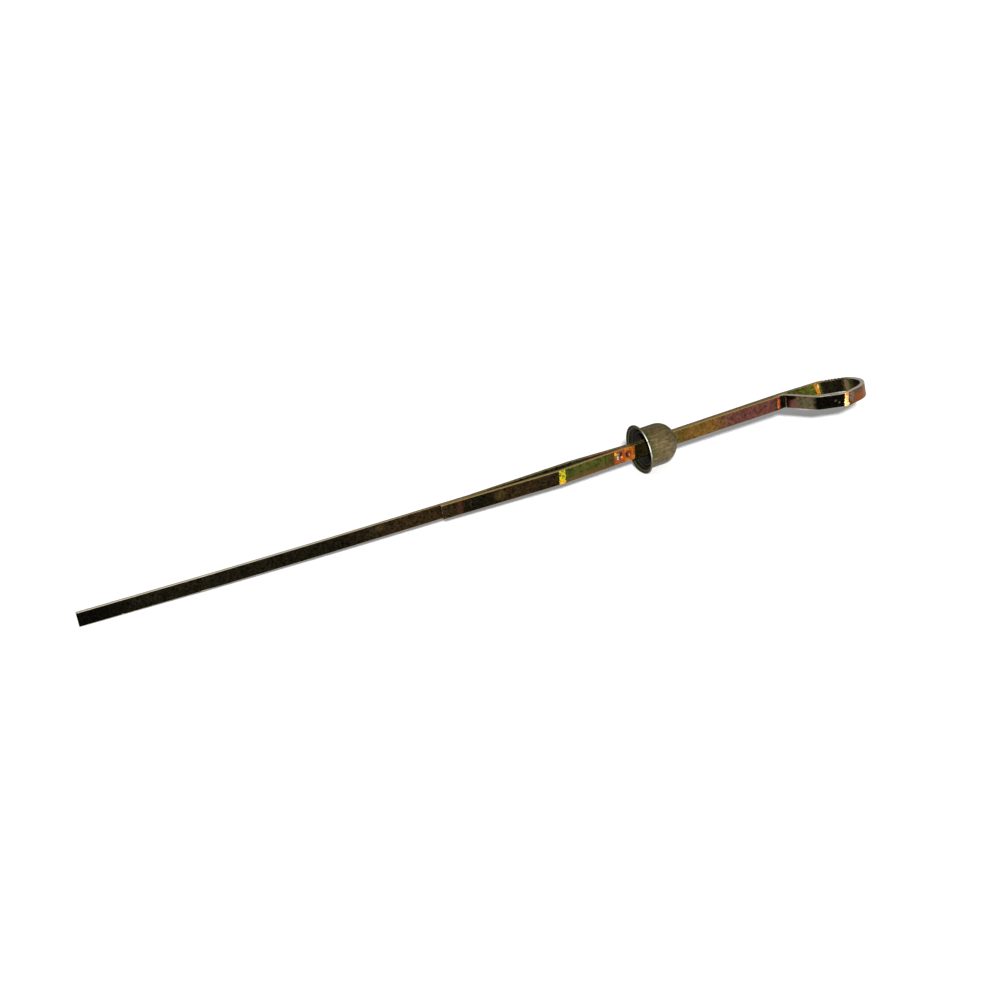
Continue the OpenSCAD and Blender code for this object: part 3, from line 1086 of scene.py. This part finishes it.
class Section:
    """Half section of a turned piece, drawn in the XY plane as straight and round stretches."""

    def __init__(self, mesh: bmesh.types.BMesh, start: Sequence[float]) -> None:
        """Starts the line.

        Args:
            mesh: the bmesh that takes it.
            start: place along the handle's line and radius.
        """
        self.mesh = mesh
        self.end = bmesh.ops.create_vert(mesh, co=(*start, 0))["vert"][0]

    def _draw(self, moved: Callable[[Vector], Vector], parts: int) -> None:
        """Adds edges one after the other.

        Args:
            moved: gives the end of an edge from its start.
            parts: how many edges there are.
        """
        for _ in range(parts):
            self.end = bmesh.ops.extrude_vert_indiv(self.mesh, verts=[self.end])["verts"][0]
            self.end.co = moved(self.end.co)

    def line(self, end: Sequence[float], parts: int = 1) -> None:
        """Draws a straight stretch.

        Args:
            end: where it ends.
            parts: how many edges it has.
        """
        step = (Vector((*end, 0)) - self.end.co) / parts
        self._draw(lambda place: place + step, parts)

    def arc(self, centre: Sequence[float], degrees: float, parts: int = 12) -> None:
        """Draws a round stretch.

        Args:
            centre: its centre.
            degrees: how far it turns, anticlockwise.
            parts: how many edges it has.
        """
        pivot = Vector((*centre, 0))
        swing = Matrix.Rotation(math.radians(degrees / parts), 3, "Z")
        self._draw(lambda place: pivot + swing @ (place - pivot), parts)


@dataclass
class TubeCap:
    """Deep-drawn bell over the dipstick tube, with a flared mouth and a slot. Lengths in millimetres."""

    stance: Stance = Stance()
    turned: Turned = Turned()
    body_d: float = 13.8
    wall: float = 0.65
    flare_r: float = 2.2
    crown_r: float = 5.6
    lip_r: float = 0.2
    near: float = 1e-3
    slot: StripSlot = StripSlot()

    def _section(self, mesh: bmesh.types.BMesh) -> None:
        """Draws the bell's wall from the crown's outside round the lip to the crown's inside.

        Args:
            mesh: the empty bmesh that takes it.
        """
        body, bore = self.body_d / 2, self.body_d / 2 - self.wall
        flare_at = body + self.flare_r
        inner_r = self.flare_r + self.wall
        reach = flare_at - self.stance.mouth_d / 2
        flare_end = math.sqrt(inner_r ** 2 - reach ** 2)
        outer_turn = math.degrees(math.acos(reach / self.flare_r))
        inner_turn = math.degrees(math.acos(reach / inner_r))
        crown = self.stance.cap_len - self.crown_r
        line = Section(mesh, (self.stance.cap_len, 0.0))
        line.line((self.stance.cap_len, body - self.crown_r), 3)
        line.arc((crown, body - self.crown_r), 90)
        line.line((flare_end, body), 5)
        line.arc((flare_end, flare_at), -outer_turn, 10)
        line.line((0.0, self.stance.mouth_d / 2), 2)
        line.arc((flare_end, flare_at), inner_turn, 10)
        line.line((crown, bore), 4)
        line.arc((crown, body - self.crown_r), -90)
        line.line((self.stance.cap_len - self.wall, 0.0), 2)

    def _round_lip(self, mesh: bmesh.types.BMesh) -> None:
        """Rounds both edges of the sheet's cut end round the mouth.

        Args:
            mesh: the turned bell.
        """
        lip = self.stance.mouth_d / 2
        rims = [edge for edge in mesh.edges
                if all(abs(math.hypot(vert.co.y, vert.co.z) - lip) < self.near for vert in edge.verts)
                and abs(edge.verts[0].co.x - edge.verts[1].co.x) < self.near]
        ends = sorted({round(edge.verts[0].co.x, 3) for edge in rims})
        outer = [edge for edge in rims if round(edge.verts[0].co.x, 3) in (ends[0], ends[-1])]
        bmesh.ops.bevel(mesh, geom=outer, offset=self.lip_r, offset_type="OFFSET", segments=3,
                        profile=0.5, affect="EDGES", material=-1)

    @staticmethod
    def _mark_inside(mesh: bmesh.types.BMesh) -> None:
        """Notes at each point whether it lies on the inside of the sheet.

        Args:
            mesh: the finished bell on the handle's line.
        """
        mesh.normal_update()
        inside = mesh.verts.layers.float.new("inside")
        for vert in mesh.verts:
            vert[inside] = float(vert.normal.y * vert.co.y + vert.normal.z * vert.co.z < 0)

    def build(self) -> None:
        """Makes the cap as one piece."""
        mesh = bmesh.new()
        self._section(mesh)
        self.turned.spin(mesh)
        self._round_lip(mesh)
        self.slot.cut(mesh, self.stance.cap_len - self.crown_r)
        self._mark_inside(mesh)
        self.stance.settle(mesh)
        made_into_piece("cap", mesh, "tube_cap", CapPlating(self.stance).material())


@dataclass(frozen=True)
class CapPlating:
    """Yellow chromate on the cap: drab tan, streaked along the draw, greener by flare and crown.

    Lengths are in metres.
    """

    stance: Stance
    lift: float = 0.64
    streaks: Grain = Grain(0.0006, 3.0, 0.65)
    streak_stretch: float = 0.1
    blots: Grain = Grain(0.0012, 4.0, 0.65)
    speckle: Grain = Grain(0.0006, 3.0, 0.75)
    crown_zone: Span = (0.0105, 0.0125)
    flare_zone: Span = (0.0036, 0.0024)
    first_ring: Band = (0.00025, 0.0003, 0.0004, 0.0005)
    second_ring: Band = (0.0012, 0.0013, 0.0014, 0.0015)
    lip_edge: Span = (0.00012, 0.00004)
    lip_wear_and_highlight: Span = (0.00055, 0.0003)
    bright_lip: Band = (-0.003, 0.001, 0.0055, 0.0078)
    ring_share: float = 0.8
    second_ring_share: float = 0.35
    lining_blots: Span = (0.4, 0.6)
    drab_blots: Span = (0.36, 0.64)
    green_speckle: Span = (0.45, 0.6)
    green_speckle_share: float = 0.35
    green_share: float = 0.55
    zinc_streaks: Span = (0.5, 0.66)
    zinc_share: float = 0.3
    lip_highlight_blots: Span = (0.32, 0.5)
    light: float = 0.3
    speckle_span: Span = (0.38, 0.62)
    speckle_light: float = 0.75
    streak_light: float = 0.7
    smooth: float = 0.36
    dulling: float = 0.3
    metal: float = 0.6
    sheen: float = 0.2
    relief: float = 0.00006
    speckle_relief: float = 0.5
    relief_strength: float = 0.6

    def _lining(self, shading: Shading, along: Number, blots: Number) -> bpy.types.NodeSocket:
        """Colours the inside of the mouth with painted shade, dark with two fine olive rings near the lip.

        Args:
            shading: the material under construction.
            along: distance from the mouth.
            blots: the coarse noise.

        Returns:
            The colour.
        """
        ring = along.band(*self.first_ring) + self.second_ring_share * along.band(*self.second_ring)
        lining = shading.mix(blots.rises(*self.lining_blots), Tone.INK, Tone.UMBER)
        return shading.mix(ring * self.ring_share, lining, Tone.LEAF)

    def material(self) -> bpy.types.Material:
        """Builds the cap's material.

        Returns:
            The material.
        """
        shading = Shading("cap_plating")
        turn = (0, self.stance.pitch, 0)
        upright = shading.node("ShaderNodeSeparateXYZ", {}, {0: shading.place(turn=turn)})
        along, side, up = (Number(shading, socket) for socket in upright.outputs)
        streaks = shading.cloud(self.streaks, shading.place((self.streak_stretch, 1, 1), turn))
        blots, speckle = shading.cloud(self.blots), shading.cloud(self.speckle)
        green = along.rises(*self.crown_zone) + along.rises(*self.flare_zone)
        green = green + self.green_speckle_share * speckle.rises(*self.green_speckle)
        zinc = streaks.rises(*self.zinc_streaks) * self.zinc_share
        light = self.light + self.speckle_light * speckle.rises(*self.speckle_span)
        colour = shading.mix(blots.rises(*self.drab_blots), Tone.DRAB, Tone.TAN_SHADE)
        colour = shading.mix(green * self.green_share, colour, Tone.OLIVE)
        colour = shading.mix(zinc, colour, Tone.ZINC)
        colour = shading.brighten(colour, light + self.streak_light * streaks)
        # Painted shade: the inside of the mouth is made dark.
        colour = shading.mix(shading.attribute("inside"), colour, self._lining(shading, along, blots))
        lip = self.stance.mouth_d / 2 * MM
        on_lip = (side * side + up * up).rises(*((lip - edge) ** 2 for edge in self.lip_edge))
        # Wear and painted highlight: the lip's edge is khaki, with a painted near-white highlight in blots
        # along its upper side.
        bright = up.band(*self.bright_lip) * blots.rises(*self.lip_highlight_blots)
        wear_and_highlight = shading.mix(bright, Tone.KHAKI, Tone.WHITE_ZINC)
        colour = shading.mix(on_lip * along.rises(*self.lip_wear_and_highlight), colour, wear_and_highlight)
        shading.finish(Base_Color=shading.brighten(colour, self.lift), Metallic=self.metal)
        shading.finish(Roughness=self.smooth + self.dulling * blots, Specular_IOR_Level=self.sheen)
        shading.bump(streaks + self.speckle_relief * speckle, self.relief, self.relief_strength)
        return shading.material


@dataclass(frozen=True)
class SealRubber:
    """Matt black rubber with a grey bloom in blots. Lengths in metres."""

    black: tuple[float, ...] = (0.003, 0.003, 0.002, 1)
    grey: tuple[float, ...] = (0.009, 0.008, 0.006, 1)
    bloom: Grain = Grain(0.0016, 4.0, 0.6)
    bloom_span: Span = (0.4, 0.75)
    grain: Grain = Grain(0.0003)
    smooth: float = 0.6
    dulling: float = 0.2
    sheen: float = 0.15
    relief: float = 0.00003
    relief_strength: float = 0.4

    def material(self) -> bpy.types.Material:
        """Builds the seal's material.

        Returns:
            The material.
        """
        shading = Shading("seal_rubber")
        grain = shading.cloud(self.grain)
        bloom = shading.cloud(self.bloom).rises(*self.bloom_span)
        shading.finish(Base_Color=shading.mix(bloom, self.black, self.grey))
        shading.finish(Roughness=self.smooth + self.dulling * grain, Specular_IOR_Level=self.sheen)
        shading.bump(grain, self.relief, self.relief_strength)
        return shading.material


@dataclass
class CapSeal:
    """Black rubber cup inside the cap. Lengths in millimetres."""

    stance: Stance = Stance()
    turned: Turned = Turned()
    outer_r: float = 6.2
    wall: float = 0.75
    floor: float = 1.8
    inset: float = 1.5
    top: float = 12.8
    crown_r: float = 4.9
    bore_r: float = 2.5
    lip_r: float = 0.3
    slot: StripSlot = StripSlot()

    def _section(self, mesh: bmesh.types.BMesh) -> None:
        """Draws the cup's wall from its closed end round the lip to the inside of its floor.

        Args:
            mesh: the empty bmesh that takes it.
        """
        bore = self.outer_r - self.wall
        crown = self.top - self.crown_r
        line = Section(mesh, (self.top, 0.0))
        line.line((self.top, self.outer_r - self.crown_r))
        line.arc((crown, self.outer_r - self.crown_r), 90, 8)
        line.line((self.inset + self.lip_r, self.outer_r))
        line.arc((self.inset + self.lip_r, self.outer_r - self.lip_r), 90, 4)
        line.line((self.inset, bore + self.lip_r))
        line.arc((self.inset + self.lip_r, bore + self.lip_r), 90, 4)
        bottom = self.top - self.floor
        line.line((bottom - self.bore_r, bore), 4)
        line.arc((bottom - self.bore_r, bore - self.bore_r), -90, 6)
        line.line((bottom, 0.0), 3)

    def build(self) -> None:
        """Makes the seal as one piece."""
        mesh = bmesh.new()
        self._section(mesh)
        self.turned.spin(mesh)
        self.slot.cut(mesh, self.top - self.crown_r)
        self.stance.settle(mesh)
        made_into_piece("seal", mesh, "cap_seal", SealRubber().material())


@dataclass(frozen=True)
class Lamp:
    """One far studio light: where it stands round the part and how wide it looks, in degrees."""

    name: str
    azimuth: float
    elevation: float
    angle: float
    strength: float


@dataclass
class Studio:
    """Pale floor, white surroundings, lamps and the camera. Lengths in metres, angles in degrees."""

    floor_z: float = -0.0086
    floor_reach: float = 40.0
    floor_tones: Span = (0.88, 0.9)
    floor_grain: Grain = Grain(0.05)
    floor_rough: float = 0.9
    floor_sheen: float = 0.1
    surround: float = 0.34
    location: tuple[float, float, float] = (-0.3065, -0.6149, 0.1933)
    azimuth: float = -22.37
    elevation: float = 16.43
    roll: float = -10.27
    lens: float = 75.4
    clip: Span = (0.01, 200)
    lamps: tuple[Lamp, ...] = (Lamp("key", -23.0, 21.0, 4.5, 8.2),)

    @staticmethod
    def _direction(azimuth: float, elevation: float) -> Vector:
        """Returns the direction from the part to a place round it; azimuth 0 is the -Y side."""
        a, e = math.radians(azimuth), math.radians(elevation)
        return Vector((math.sin(a) * math.cos(e), -math.cos(a) * math.cos(e), math.sin(e)))

    def _floor(self) -> None:
        """Lays the pale floor."""
        mesh = bmesh.new()
        bmesh.ops.create_circle(mesh, cap_ends=True, radius=self.floor_reach, segments=64)
        bmesh.ops.translate(mesh, vec=(0, 0, self.floor_z), verts=mesh.verts)
        shading = Shading("floor")
        dark, light = ((tone, tone, tone, 1) for tone in self.floor_tones)
        pale = shading.mix(shading.cloud(self.floor_grain), dark, light)
        shading.finish(Base_Color=pale, Roughness=self.floor_rough, Specular_IOR_Level=self.floor_sheen)
        dressed("floor", mesh, shading.material)

    def _light(self, lamp: Lamp) -> None:
        """Sets up one lamp aimed at the part.

        Args:
            lamp: where it stands and how it shines.
        """
        data = bpy.data.lights.new(lamp.name, "SUN")
        data.angle = math.radians(lamp.angle)
        data.energy = lamp.strength
        back = self._direction(lamp.azimuth, lamp.elevation)
        placed(lamp.name, data).rotation_euler = back.to_track_quat("Z", "Y").to_euler()

    def _surround(self) -> None:
        """Lights the part evenly from all round."""
        world = bpy.data.worlds.new("surround")
        world.use_nodes = True
        sky = world.node_tree.nodes["Background"]
        sky.inputs["Color"].default_value = (1, 1, 1, 1)
        sky.inputs["Strength"].default_value = self.surround
        bpy.context.scene.world = world

    def _camera(self) -> None:
        """Sets the camera at the photograph's viewing angle."""
        data = bpy.data.cameras.new("camera")
        data.lens = self.lens
        data.clip_start, data.clip_end = self.clip
        camera = placed("camera", data)
        back = self._direction(self.azimuth, self.elevation)
        turned = back.to_track_quat("Z", "Y").to_matrix() @ Matrix.Rotation(math.radians(self.roll), 3, "Z")
        camera.matrix_world = Matrix.Translation(self.location) @ turned.to_4x4()
        bpy.context.scene.camera = camera

    def build(self) -> None:
        """Sets up everything round the part."""
        self._camera()
        self._floor()
        self._surround()
        for lamp in self.lamps:
            self._light(lamp)
        bpy.context.scene.view_settings.view_transform = "Standard"


def main() -> None:
    """Builds the studio and each sub-assembly in order."""
    logging.basicConfig(level=logging.INFO, format="%(name)s: %(message)s")
    for part in (Studio(), FoldedStrip(), TubeCap(), CapSeal()):
        part.build()


if __name__ == "__main__":
    main()
